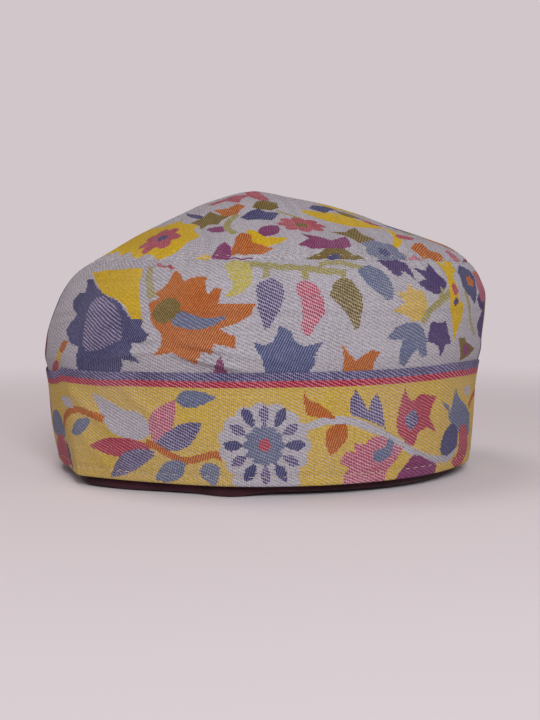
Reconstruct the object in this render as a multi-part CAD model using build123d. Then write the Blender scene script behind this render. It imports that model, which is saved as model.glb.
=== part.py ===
"""Soft oval cap: an upright wall of figured shawl cloth, a low conical crown, a woven border
band round the foot, buckram and lining inside, and a velvet sweatband that the cap stands on.

Millimetres, +Z up, origin on the floor under the middle of the cap. The cap is longest along X,
and its crown leans a little towards +X. Every layer follows one outline, set in from the outer
face of the wall cloth by the layers outside it.
"""
from build123d import *
import os
from functools import cache
from math import hypot

# Overall size
CAP_LENGTH = 208.6  # widest section along X
CAP_WIDTH = 192.0  # widest section along Y
CAP_HEIGHT = 132.4  # floor to the tip of the crown
RIM_HEIGHT = 97.5  # seam between wall and crown

# Cloths and the room between two of them
BAND_CLOTH = 0.8
WALL_CLOTH = 0.8
CROWN_CLOTH = 0.8
BUCKRAM = 0.8
LINING_CLOTH = 0.6
VELVET = 1.2
LAYER_GAP = 0.1
BUCKRAM_GAP = 0.2

# Heights of edges above the floor, and widths of turnings
HEM_HEIGHT = 4.8
BAND_TOP = 51.5
HEM_TURNING = 9.5
BAND_LAP = 10.0
CROWN_TURNING = 8.0
BUCKRAM_FOOT = 5.0
LINING_FOOT = 8.0
SWEATBAND_TOP = 36.0
SEAM_EASE = 1.0  # room left at the rim between two inner layers

# Joins and folds
JOIN_GAP = 0.4  # between the two ends of the border band
BAND_JOIN_ANGLE = 90.0  # where they meet, round from +X: the middle of the back
FOLD_GAP = 1.0  # between the two halves of the buckram, where the cap folds flat

# Thread
THREAD = 0.35
STITCH_LENGTH = 3.6
STITCH_PITCH = 5.0
HAND_STITCH_LENGTH = 2.2
HAND_STITCH_PITCH = 6.0
TOPSTITCH_RISE = 4.5  # above the hem's edge
BAND_STITCH_DROP = 1.2  # below the band's top edge
RIM_STITCH_RISE = 1.5  # above the rim seam
SWEATBAND_STITCH_DROP = 2.0  # below the sweatband's top edge
THREAD_REST = 0.03  # thread lies this far off the cloth's face

# The outline, as rows of (share of the zone's height, share of the widest section, lean as a
# share of half the length). The first row lies below the floor, so that every edge is a cut.
WALL_OUTLINE = (
    (-0.10, 0.926, 0.000),
    (0.00, 0.934, 0.000),
    (0.125, 0.953, -0.005),
    (0.25, 0.967, -0.010),
    (0.41, 0.977, -0.011),
    (0.50, 0.989, -0.011),
    (0.58, 1.000, -0.009),
    (0.67, 1.000, 0.002),
    (0.76, 0.990, 0.021),
    (0.85, 0.972, 0.041),
    (0.91, 0.944, 0.050),
    (0.955, 0.913, 0.060),
)
CROWN_OUTLINE = (
    (0.00, 0.865, 0.074),
    (0.09, 0.822, 0.085),
    (0.22, 0.752, 0.088),
    (0.36, 0.648, 0.063),
    (0.50, 0.530, 0.036),
    (0.645, 0.416, 0.021),
    (0.79, 0.283, -0.008),
    (0.90, 0.150, -0.038),
    (0.965, 0.068, -0.047),
    (1.00, 0.012, -0.045),
)

CROWN_RISE = CAP_HEIGHT - RIM_HEIGHT
HALF_LENGTH = CAP_LENGTH / 2
HALF_WIDTH = CAP_WIDTH / 2
MARGIN = 20.0  # how far a cutting block runs past the cap

ROWS = [(z * RIM_HEIGHT, girth, lean) for z, girth, lean in WALL_OUTLINE]
ROWS += [(RIM_HEIGHT + z * CROWN_RISE, girth, lean) for z, girth, lean in CROWN_OUTLINE]

# How far each layer's outer face lies inside the wall cloth's outer face
BAND_INSET = -BAND_CLOTH - LAYER_GAP
TURNING_INSET = WALL_CLOTH + LAYER_GAP
BUCKRAM_INSET = TURNING_INSET + CROWN_CLOTH + BUCKRAM_GAP
LINING_INSET = BUCKRAM_INSET + BUCKRAM + BUCKRAM_GAP
SWEATBAND_INSET = LINING_INSET + LINING_CLOTH + BUCKRAM_GAP


def outline_normal(i):
    """(outward, upward) unit normal of the outline at row i."""
    low, high = ROWS[max(i - 1, 0)], ROWS[min(i + 1, len(ROWS) - 1)]
    if i == len(ROWS) - 1:
        return 0.0, 1.0
    mean_half = (HALF_LENGTH + HALF_WIDTH) / 2
    rise, spread = high[0] - low[0], (high[1] - low[1]) * mean_half
    length = hypot(rise, spread)
    return rise / length, -spread / length


def oval(i, inset):
    """(height, half length, half width, lean) of row i of the outline, set in by inset."""
    z, girth, lean = ROWS[i]
    outward, upward = outline_normal(i)
    half_x = girth * HALF_LENGTH - inset * outward
    half_y = girth * HALF_WIDTH - inset * outward
    return z - inset * upward, half_x, half_y, lean * HALF_LENGTH


@cache
def solid_of_outline(inset):
    """The whole cap's outline, set in by inset, as one smooth solid."""
    ovals = []
    for i in range(len(ROWS)):
        z, half_x, half_y, lean = oval(i, inset)
        ovals.append(Plane(origin=(lean, 0, z)) * Ellipse(half_x, half_y))
    return loft(ovals)


def between(low, high):
    """A block that holds everything from height low to height high."""
    size_x, size_y = CAP_LENGTH + 2 * MARGIN, CAP_WIDTH + 2 * MARGIN
    return Pos(0, 0, (low + high) / 2) * Box(size_x, size_y, high - low)


def layer(inset, thickness, low, high):
    """A cloth of that thickness whose outer face is set in by inset, from low to high."""
    return (solid_of_outline(inset) - solid_of_outline(inset + thickness)) & between(low, high)


def half(part, side):
    """The front (-1) or back (1) half of a layer, clear of the fold line along X."""
    depth = CAP_WIDTH
    height = CAP_HEIGHT + 2 * MARGIN
    keep = Pos(0, side * (FOLD_GAP + depth) / 2, CAP_HEIGHT / 2)
    return part & keep * Box(CAP_LENGTH + 2 * MARGIN, depth, height)


def stitch_row(height, inset, length, pitch, inside=False):
    """Straight stitches lying on a cloth's face, all at one height, as separate solids."""
    off = THREAD / 2 + THREAD_REST
    line_inset = inset + off if inside else inset - off
    line = section(solid_of_outline(line_inset), section_by=Plane.XY.offset(height)).edge()
    count = round(line.length / pitch)
    stitches = []
    for k in range(count):
        along = line.tangent_at(k / count)
        stitches.append(Plane(line.position_at(k / count), z_dir=along) * Cylinder(THREAD / 2, length))
    return Compound(children=stitches)


def border_band():
    """The woven border: a strip round the foot, its lower edge turned up inside."""
    strip = layer(BAND_INSET, BAND_CLOTH, HEM_HEIGHT, BAND_TOP)
    turning_inset = BAND_INSET + BAND_CLOTH + LAYER_GAP
    turning = layer(turning_inset, BAND_CLOTH, HEM_HEIGHT, HEM_HEIGHT + HEM_TURNING)
    fold_depth = 2 * BAND_CLOTH + LAYER_GAP
    fold = layer(BAND_INSET, fold_depth, HEM_HEIGHT, HEM_HEIGHT + BAND_CLOTH)
    reach = CAP_LENGTH
    slot = Pos(reach / 2, 0, BAND_TOP / 2) * Box(reach, JOIN_GAP, BAND_TOP + MARGIN)
    return strip + turning + fold - Rot(0, 0, BAND_JOIN_ANGLE) * slot


def upper_wall():
    """The figured wall cloth, lapped behind the band and sewn to the crown at the rim."""
    return layer(0, WALL_CLOTH, BAND_TOP - BAND_LAP, RIM_HEIGHT)


def crown_top():
    """The crown cloth, with its edge turned down inside the wall at the rim seam."""
    dome = layer(0, CROWN_CLOTH, RIM_HEIGHT + LAYER_GAP, CAP_HEIGHT + MARGIN)
    turning = layer(TURNING_INSET, CROWN_CLOTH, RIM_HEIGHT - CROWN_TURNING, RIM_HEIGHT + LAYER_GAP)
    fold_depth = WALL_CLOTH + LAYER_GAP + CROWN_CLOTH
    fold_low = RIM_HEIGHT + LAYER_GAP
    return dome + turning + layer(0, fold_depth, fold_low, fold_low + CROWN_CLOTH)


@cache
def wall_buckram():
    """The stiff strip that keeps the wall upright."""
    return layer(BUCKRAM_INSET, BUCKRAM, BUCKRAM_FOOT, RIM_HEIGHT - SEAM_EASE)


@cache
def crown_buckram():
    """The stiff cone under the crown."""
    return layer(BUCKRAM_INSET, BUCKRAM, RIM_HEIGHT, CAP_HEIGHT + MARGIN)


def wall_buckram_front():
    return half(wall_buckram(), -1)


def wall_buckram_back():
    return half(wall_buckram(), 1)


def crown_buckram_front():
    return half(crown_buckram(), -1)


def crown_buckram_back():
    return half(crown_buckram(), 1)


def wall_lining():
    return layer(LINING_INSET, LINING_CLOTH, LINING_FOOT, RIM_HEIGHT - 2 * SEAM_EASE)


def crown_lining():
    return layer(LINING_INSET, LINING_CLOTH, RIM_HEIGHT - SEAM_EASE, CAP_HEIGHT + MARGIN)


def sweatband():
    """The velvet band next to the head. It stands on the floor and shows below the hem."""
    return layer(SWEATBAND_INSET, VELVET, 0, SWEATBAND_TOP)


def hem_topstitch():
    return stitch_row(HEM_HEIGHT + TOPSTITCH_RISE, BAND_INSET, STITCH_LENGTH, STITCH_PITCH)


def band_stitches():
    height = BAND_TOP - BAND_STITCH_DROP
    return stitch_row(height, BAND_INSET, HAND_STITCH_LENGTH, HAND_STITCH_PITCH)


def rim_stitches():
    height = RIM_HEIGHT + RIM_STITCH_RISE
    return stitch_row(height, 0, HAND_STITCH_LENGTH, HAND_STITCH_PITCH)


def sweatband_stitches():
    height = SWEATBAND_TOP - SWEATBAND_STITCH_DROP
    inner_face = SWEATBAND_INSET + VELVET
    return stitch_row(height, inner_face, STITCH_LENGTH, STITCH_PITCH, inside=True)


PARTS = (
    border_band, upper_wall, crown_top, wall_buckram_front, wall_buckram_back,
    crown_buckram_front, crown_buckram_back, wall_lining, crown_lining, sweatband,
    hem_topstitch, band_stitches, rim_stitches, sweatband_stitches,
)

os.makedirs("parts", exist_ok=True)
for make in PARTS:
    export_step(make(), f"parts/{make.__name__}.step")
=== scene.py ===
"""Looks of the soft oval cap: figured twill cloths, stripes, thread, lining and velvet, built as
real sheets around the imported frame. Lengths here are millimetres, scaled once when a mesh is made.

A place on the wall or the band is (s, v): s runs round the cap from the middle of the front,
towards +X, and v runs up the outline from the floor. A place on the crown is (p, q): the crown
cloth laid flat, p along X and q along Y, with the tip at its middle.
"""
import math

import bpy
import numpy as np
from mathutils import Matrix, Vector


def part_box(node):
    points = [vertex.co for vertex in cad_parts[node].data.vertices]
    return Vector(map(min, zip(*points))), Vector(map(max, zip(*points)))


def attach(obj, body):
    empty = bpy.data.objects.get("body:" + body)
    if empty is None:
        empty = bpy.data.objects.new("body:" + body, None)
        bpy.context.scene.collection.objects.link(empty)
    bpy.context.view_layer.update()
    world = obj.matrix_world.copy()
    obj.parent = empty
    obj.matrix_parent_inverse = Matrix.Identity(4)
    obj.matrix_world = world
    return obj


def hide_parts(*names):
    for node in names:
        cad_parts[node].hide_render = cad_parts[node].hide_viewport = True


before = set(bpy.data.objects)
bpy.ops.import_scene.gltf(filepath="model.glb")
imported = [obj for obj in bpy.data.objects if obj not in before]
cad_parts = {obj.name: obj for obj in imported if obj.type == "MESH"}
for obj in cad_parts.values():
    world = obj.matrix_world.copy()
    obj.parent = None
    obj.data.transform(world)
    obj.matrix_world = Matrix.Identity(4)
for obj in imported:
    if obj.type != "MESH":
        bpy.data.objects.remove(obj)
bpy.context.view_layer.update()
MM = 0.001
random = np.random.default_rng(11)

# ---------------------------------------------------------------- sizes, from the frame
band_low, band_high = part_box("border_band")
wall_low, wall_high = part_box("upper_wall")
HEM = band_low.z / MM
BAND_TOP = band_high.z / MM
RIM_HEIGHT = wall_high.z / MM
CAP_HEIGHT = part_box("crown_top")[1].z / MM
SWEATBAND_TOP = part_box("sweatband")[1].z / MM

# The outline, as in the CAD: (share of the zone's height, share of the widest section, lean).
WALL_OUTLINE = (
    (-0.10, 0.926, 0.000),
    (0.00, 0.934, 0.000),
    (0.125, 0.953, -0.005),
    (0.25, 0.967, -0.010),
    (0.41, 0.977, -0.011),
    (0.50, 0.989, -0.011),
    (0.58, 1.000, -0.009),
    (0.67, 1.000, 0.002),
    (0.76, 0.990, 0.021),
    (0.85, 0.972, 0.041),
    (0.91, 0.944, 0.050),
    (0.955, 0.913, 0.060),
)
CROWN_OUTLINE = (
    (0.00, 0.865, 0.074),
    (0.09, 0.822, 0.085),
    (0.22, 0.752, 0.088),
    (0.36, 0.648, 0.063),
    (0.50, 0.530, 0.036),
    (0.645, 0.416, 0.021),
    (0.79, 0.283, -0.008),
    (0.90, 0.150, -0.038),
    (0.965, 0.068, -0.047),
    (1.00, 0.000, -0.045),
)
# Each layer's outer face, measured from the wall cloth's face: the band outwards, the rest inwards
BAND_OUT = 0.9
BUCKRAM_INSET = 1.9
LINING_INSET = 2.9
VELVET_INSET = 3.7
CLOTH, BUCKRAM, VELVET = 0.8, 0.8, 1.2  # thickness
RIM_GIRTH = CROWN_OUTLINE[0][1]
HEM_STITCH_UP = 4.3  # from the hem up to its row of stitches

girths = [row[1] for row in WALL_OUTLINE]
leans = [row[2] for row in WALL_OUTLINE]
HALF_WIDTH = (wall_high.y - wall_low.y) / 2 / MM / max(girths)
x_reach = max(g + d for g, d in zip(girths, leans)) + max(g - d for g, d in zip(girths, leans))
HALF_LENGTH = (wall_high.x - wall_low.x) / MM / x_reach


# ---------------------------------------------------------------- the cap's form
def through(points, steps):
    """A smooth line through points, with that many steps from each point to the next."""
    points = np.asarray(points, float)
    last = len(points) - 1
    t = np.linspace(0, last, last * steps + 1)
    i = np.clip(np.floor(t).astype(int), 0, last - 1)
    f = (t - i)[:, None]
    a, b = points[np.clip(i - 1, 0, last)], points[i]
    c, d = points[i + 1], points[np.clip(i + 2, 0, last)]
    return 0.5 * (2 * b + (c - a) * f + (2 * a - 5 * b + 4 * c - d) * f**2
                  + (3 * b - a - 3 * c + d) * f**3)


def outline_rows():
    rows = [(z * RIM_HEIGHT, g, d * HALF_LENGTH) for z, g, d in WALL_OUTLINE]
    rise = CAP_HEIGHT - RIM_HEIGHT
    rows += [(RIM_HEIGHT + z * rise, g, d * HALF_LENGTH) for z, g, d in CROWN_OUTLINE]
    return rows


LINE = through(outline_rows(), 60)
MEAN_HALF = (HALF_LENGTH + HALF_WIDTH) / 2
LINE_STEP = np.hypot(np.diff(LINE[:, 0]), np.diff(LINE[:, 1]) * MEAN_HALF)
LINE_RUN = np.concatenate([[0], np.cumsum(LINE_STEP)])
LINE_RUN -= np.interp(0, LINE[:, 0], LINE_RUN)
RIM_RUN = float(np.interp(RIM_HEIGHT, LINE[:, 0], LINE_RUN))
HEM_RUN = float(np.interp(HEM, LINE[:, 0], LINE_RUN))
BAND_TOP_RUN = float(np.interp(BAND_TOP, LINE[:, 0], LINE_RUN))

TURN = np.linspace(-math.pi, math.pi, 7201)
TURN_STEP = np.hypot(np.diff(HALF_LENGTH * np.sin(TURN)), np.diff(HALF_WIDTH * np.cos(TURN)))
TURN_RUN = np.concatenate([[0], np.cumsum(TURN_STEP)])
GIRTH_LENGTH = float(TURN_RUN[-1])
TURN_RUN -= GIRTH_LENGTH / 2


def wrapped(s):
    """A place round the cap, brought to within half a turn of the front."""
    return (np.asarray(s) + GIRTH_LENGTH / 2) % GIRTH_LENGTH - GIRTH_LENGTH / 2


def oval_point(turn, z, girth, lean, outward, upward, out):
    """A point of an oval section, moved out along the cloth's normal."""
    side = np.stack([np.sin(turn) / HALF_LENGTH, -np.cos(turn) / HALF_WIDTH], -1)
    side /= np.linalg.norm(side, axis=-1, keepdims=True)
    x = lean + girth * HALF_LENGTH * np.sin(turn) + side[..., 0] * outward * out
    y = -girth * HALF_WIDTH * np.cos(turn) + side[..., 1] * outward * out
    return np.stack([x, y, z + upward * out], -1)


def slope_at(run):
    """(outward, upward) normal of the outline at a run up it."""
    d = 1.5
    rise = np.interp(run + d, LINE_RUN, LINE[:, 0]) - np.interp(run - d, LINE_RUN, LINE[:, 0])
    spread = np.interp(run + d, LINE_RUN, LINE[:, 1]) - np.interp(run - d, LINE_RUN, LINE[:, 1])
    length = np.hypot(rise, spread * MEAN_HALF)
    return rise / length, -spread * MEAN_HALF / length


# Two opposite corners stand out where the cap has lain folded: flat towards the middle of the
# broad side, turning sharply away behind. Each is (place, towards which side, which Y).
CORNERS = ((-98.0, 1, -1), (217.0, 1, 1))
CORNER = (1.5, 12.5)  # how far a corner stands out from the oval at the foot, along X and Y
FLAT_SIDE, TURNED_SIDE = 60.0, 16.0


def corner_push(s, v):
    """How far the corners move the form along X and along Y."""
    push = 0
    for at, hand, face in CORNERS:
        gap = wrapped(s - at - 0.06 * (v - 10)) * hand
        flat = np.clip(1 - gap / FLAT_SIDE, 0, 1) ** 2
        turned = np.clip(1 + gap / TURNED_SIDE, 0, 1)
        share = np.where(gap > 0, flat, turned * turned * (3 - 2 * turned))
        push = push + face * share / (1 + np.exp((v - 38) / 9))
    return -push * CORNER[0], push * CORNER[1]


def wall_point(s, v, out):
    """The point at (s, v) on the wall's form, out mm outside it."""
    outward, upward = slope_at(v)
    z, girth, lean = (np.interp(v, LINE_RUN, LINE[:, k]) for k in range(3))
    turn = np.interp(wrapped(s), TURN_RUN, TURN)
    points = oval_point(turn, z, girth, lean, outward, upward, out)
    along_x, along_y = corner_push(s, v)
    points[..., 0] += along_x
    points[..., 1] += along_y
    return points


CROWN_LINE = LINE[LINE[:, 0] >= RIM_HEIGHT - 1e-6][::-1]
CROWN_RUN = LINE_RUN[LINE[:, 0] >= RIM_HEIGHT - 1e-6][::-1]


def crown_point(p, q, out):
    """The point of the crown's form over the flat place (p, q), out mm outside it."""
    share = np.hypot(p / HALF_LENGTH, q / HALF_WIDTH)
    turn = np.arctan2(p / HALF_LENGTH, -q / HALF_WIDTH)
    run = np.interp(share, CROWN_LINE[:, 1], CROWN_RUN)
    outward, upward = slope_at(run)
    tip = np.clip(share / 0.12, 0, 1)
    outward, upward = outward * tip, np.where(tip < 1, 1 - (1 - upward) * tip, upward)
    z = np.interp(share, CROWN_LINE[:, 1], CROWN_LINE[:, 0])
    lean = np.interp(share, CROWN_LINE[:, 1], CROWN_LINE[:, 2])
    return oval_point(turn, z, share, lean, outward, upward, out)


def hump(x, centre, spread):
    """A smooth bump, 1 high at its centre."""
    return np.exp(-((x - centre) / spread) ** 2)


def swells(seed, across, up, count, height):
    """Soft unevenness: slow waves round and up the cloth, the same on every run."""
    draw = np.random.default_rng(seed)
    waves = []
    for _ in range(count):
        turns = draw.integers(2, 15)
        waves.append((turns * 2 * math.pi / GIRTH_LENGTH, draw.uniform(-0.08, 0.08),
                      draw.uniform(0, 2 * math.pi), draw.uniform(0.4, 1.0)))
    total = sum(w[3] for w in waves)
    return sum(w[3] * np.sin(w[0] * across + w[1] * up + w[2]) for w in waves) / total * height


# Narrow folds of cloth: (start, end, height, spread)
FADE = 8.0  # how far from each end a fold reaches its full height
BAND_FOLDS = (
    ((-102, 45), (-62, 24), 0.9, 3.2),
    ((-64, 46), (-40, 30), 0.8, 2.6),
    ((-96, 30), (-70, 8), 0.6, 3.5),
)
WALL_FOLDS = (
    ((-70, 57.0), (-38, 62.0), 1.6, 1.6),
    ((-44, 61.5), (-6, 53.0), 2.0, 1.5),
    ((-62, 63.5), (-12, 58.0), -1.0, 1.8),
    ((-36, 64), (12, 56), 0.7, 1.6),
    ((-112, 93), (-52, 96), 1.0, 1.3),
    ((-108, 89), (-66, 93), 0.8, 1.2),
    ((-98, 88), (-94, 66), 0.7, 2.2),
)


def folds(s, v, table):
    """The height at (s, v) of all the folds in a table."""
    total = 0
    for (s0, v0), (s1, v1), height, spread in table:
        length = math.hypot(s1 - s0, v1 - v0)
        along = ((s - s0) * (s1 - s0) + (v - v0) * (v1 - v0)) / length
        aside = ((s - s0) * (v1 - v0) - (v - v0) * (s1 - s0)) / length
        fade = np.clip(along / FADE, 0, 1) * np.clip((length - along) / FADE, 0, 1)
        total = total + height * fade * hump(aside, 0, spread)
    return total


def band_relief(s, v):
    """How far the band's face stands off the even form."""
    dimples = 0.18 * np.sin(2 * math.pi * s / 5.0) * hump(v, HEM_RUN + HEM_STITCH_UP, 1.6)
    groove = 0.25 * hump(v, HEM_RUN + HEM_STITCH_UP, 1.2)
    join = 0.9 * hump(wrapped(s - GIRTH_LENGTH / 2), 0, 1.1)
    return swells(3, s, v, 9, 0.55) + folds(s, v, BAND_FOLDS) + dimples - groove - join


def rim_puckers(s):
    """How the rim seam draws the cloth up, the same on the wall and the crown."""
    broad = np.sin(2 * math.pi * s / 9.7 + 2.2 * np.sin(s / 23))
    return broad + 0.7 * np.sin(s / 0.8 + 2 * np.sin(s / 9))


def wall_relief(s, v):
    """How far the wall's face stands off the even form."""
    soft = swells(5, s, v, 9, 0.8) * (1 - hump(v, RIM_RUN, 12))
    puckers = 0.26 * rim_puckers(s + 0.5 * (v - RIM_RUN)) * hump(v, RIM_RUN, 9)
    return soft + puckers + folds(s, v, WALL_FOLDS) + 0.5 * hump(v, BAND_TOP_RUN + 5, 4)


def crown_relief(p, q):
    """How far the crown's face stands off the even form, with the ridge along its length."""
    around = np.interp(np.arctan2(p / HALF_LENGTH, -q / HALF_WIDTH), TURN, TURN_RUN)
    far = np.hypot(p / HALF_LENGTH, q / HALF_WIDTH) / RIM_GIRTH
    inner = np.clip(far * 2, 0, 1) * np.clip((1 - far) * 8, 0, 1)
    soft = swells(8, around, far * 40, 8, 1.0) * inner
    ridge = 0.9 * hump(q, 0, 5) * np.clip(far * 3, 0, 1) * np.clip((1 - far) * 6, 0, 1)
    return soft + ridge + 0.26 * rim_puckers(around) * hump(far, 1, 0.09)


def band_lift(s):
    """How much higher than level the band's top edge and its stripes run."""
    line = [(-315, -1.0), (-200, 0.5), (-135, -4.4), (-122, -4.2), (-112, -3.2), (-104, -0.8),
            (-98, -0.8), (-84, -1.1), (-72, -1.1), (-58, -0.3), (0, 0.2), (60, 0.7), (95, 1.6),
            (125, 1.2), (160, -0.5), (315, -1.0)]
    line = np.array(line)
    return np.interp(wrapped(s), line[:, 0], line[:, 1])


def band_shift(s, v):
    """How far the lift moves a place on the band: all of it at the top, none at the hem."""
    return band_lift(s) * np.clip((v - HEM_RUN) / (BAND_TOP_RUN - HEM_RUN), 0, 1.05)


def wall_shift(s, v):
    """How far the lift moves a place on the wall: all of it at the band, none at the rim."""
    return band_lift(s) * np.clip((RIM_RUN - v) / (RIM_RUN - BAND_TOP_RUN), 0, 1)


# ---------------------------------------------------------------- yarns
def shade(r, g, b):
    """A colour given as screen values, as the scene's own linear values."""
    c = np.array([r, g, b]) / 255
    return np.where(c <= 0.04045, c / 12.92, ((c + 0.055) / 1.055) ** 2.4)


# name: face yarn, yarn seen between its floats, and how much of that one shows along the
# twill lines, round dots, and along steep lines
YARNS = {
    "lilac": (shade(168, 164, 170), shade(104, 95, 107), (0.55, 0.0, 0.0)),
    "yellow": (shade(177, 149, 24), shade(186, 161, 142), (0.80, 0.0, 0.15)),
    "gold": (shade(186, 152, 2), shade(184, 156, 70), (0.35, 0.0, 0.20)),
    "orange": (shade(144, 60, 6), shade(178, 122, 72), (0.05, 0.0, 0.95)),
    "navy": (shade(40, 38, 78), shade(106, 107, 138), (0.12, 0.0, 0.70)),
    "navy_dots": (shade(27, 20, 62), shade(158, 150, 176), (0.0, 1.0, 0.0)),
    "violet": (shade(48, 34, 82), shade(106, 91, 124), (0.15, 0.0, 0.60)),
    "slate": (shade(74, 80, 113), shade(148, 153, 160), (0.50, 0.0, 0.25)),
    "blue": (shade(51, 58, 97), shade(115, 120, 147), (0.05, 0.0, 0.85)),
    "olive": (shade(88, 70, 20), shade(136, 121, 80), (0.20, 0.0, 0.60)),
    "olive_dots": (shade(74, 58, 32), shade(174, 162, 128), (0.0, 0.95, 0.0)),
    "lime_dots": (shade(127, 117, 20), shade(162, 157, 146), (0.0, 0.9, 0.0)),
    "yellow_dots": (shade(167, 153, 26), shade(167, 162, 154), (0.0, 0.8, 0.0)),
    "crimson": (shade(139, 30, 52), shade(182, 126, 133), (0.70, 0.0, 0.20)),
    "crimson_dots": (shade(140, 20, 56), shade(196, 162, 172), (0.0, 0.95, 0.0)),
    "rose": (shade(149, 45, 73), shade(179, 153, 165), (0.60, 0.35, 0.0)),
    "plum": (shade(103, 33, 74), shade(148, 105, 139), (0.35, 0.0, 0.30)),
    "stripe_navy": (shade(10, 2, 46), shade(178, 170, 208), (0.05, 0.62, 0.0)),
    "stripe_crimson": (shade(142, 0, 32), shade(206, 156, 172), (0.60, 0.0, 0.0)),
}
YARN_NAMES = list(YARNS)


# ---------------------------------------------------------------- figures
# A figure is (yarn, outline). An outline is a ring of points in mm.
def cut(*points):
    """An outline with straight sides and sharp corners."""
    return np.asarray(points, float)


def curve(*points):
    """A rounded outline through points."""
    ring = list(points[-1:]) + list(points) + list(points[:2])
    return through(ring, 6)[6:-6]


def leaf(tail, tip, width, belly=0.42, bend=0.0):
    """A leaf from its stalk end to its tip, widest at belly, its midrib bent aside by bend."""
    t = np.linspace(0, 1, 15)
    peak = np.where(t < belly, np.sin(t / belly * math.pi / 2) ** 0.7,
                    np.cos((t - belly) / (1 - belly) * math.pi / 2) ** 0.9)
    (x0, y0), (x1, y1) = tail, tip
    length = math.hypot(x1 - x0, y1 - y0)
    along, aside = t * length, peak * width / 2
    ux, uy = (x1 - x0) / length, (y1 - y0) / length
    bow = bend * np.sin(t * math.pi)
    both = [np.concatenate([along, along[::-1]]),
            np.concatenate([bow + aside, (bow - aside)[::-1]])]
    return np.stack([x0 + ux * both[0] - uy * both[1], y0 + uy * both[0] + ux * both[1]], -1)


def rosette(centre, radius, petals, notch=0.3, squash=1.0, start=0.0, sharp=1.0):
    """A round flower with that many petals, each notch deep."""
    t = np.linspace(0, 2 * math.pi, petals * 10 + 1)[:-1]
    lobe = np.abs(np.cos((t - start) * petals / 2)) ** sharp
    r = radius * (1 - notch + notch * lobe)
    return np.stack([centre[0] + r * np.cos(t), centre[1] + squash * r * np.sin(t)], -1)


def vine(width, *points):
    """A stem of an even width through points, with square ends."""
    mid = through(points, 6)
    step = np.gradient(mid, axis=0)
    step /= np.linalg.norm(step, axis=1, keepdims=True)
    side = np.stack([-step[:, 1], step[:, 0]], -1) * width / 2
    return np.concatenate([mid + side, (mid - side)[::-1]])


def daisy_petals(centre, inner, outer, width, count, offset=0.0):
    """Separate petals round a flower's middle."""
    petals = []
    for k in range(count):
        a = 2 * math.pi * k / count + offset
        near = (centre[0] + inner * math.cos(a), centre[1] + inner * math.sin(a))
        far = (centre[0] + outer * math.cos(a), centre[1] + outer * math.sin(a))
        petals.append(leaf(near, far, width, belly=0.6))
    return petals


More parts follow.
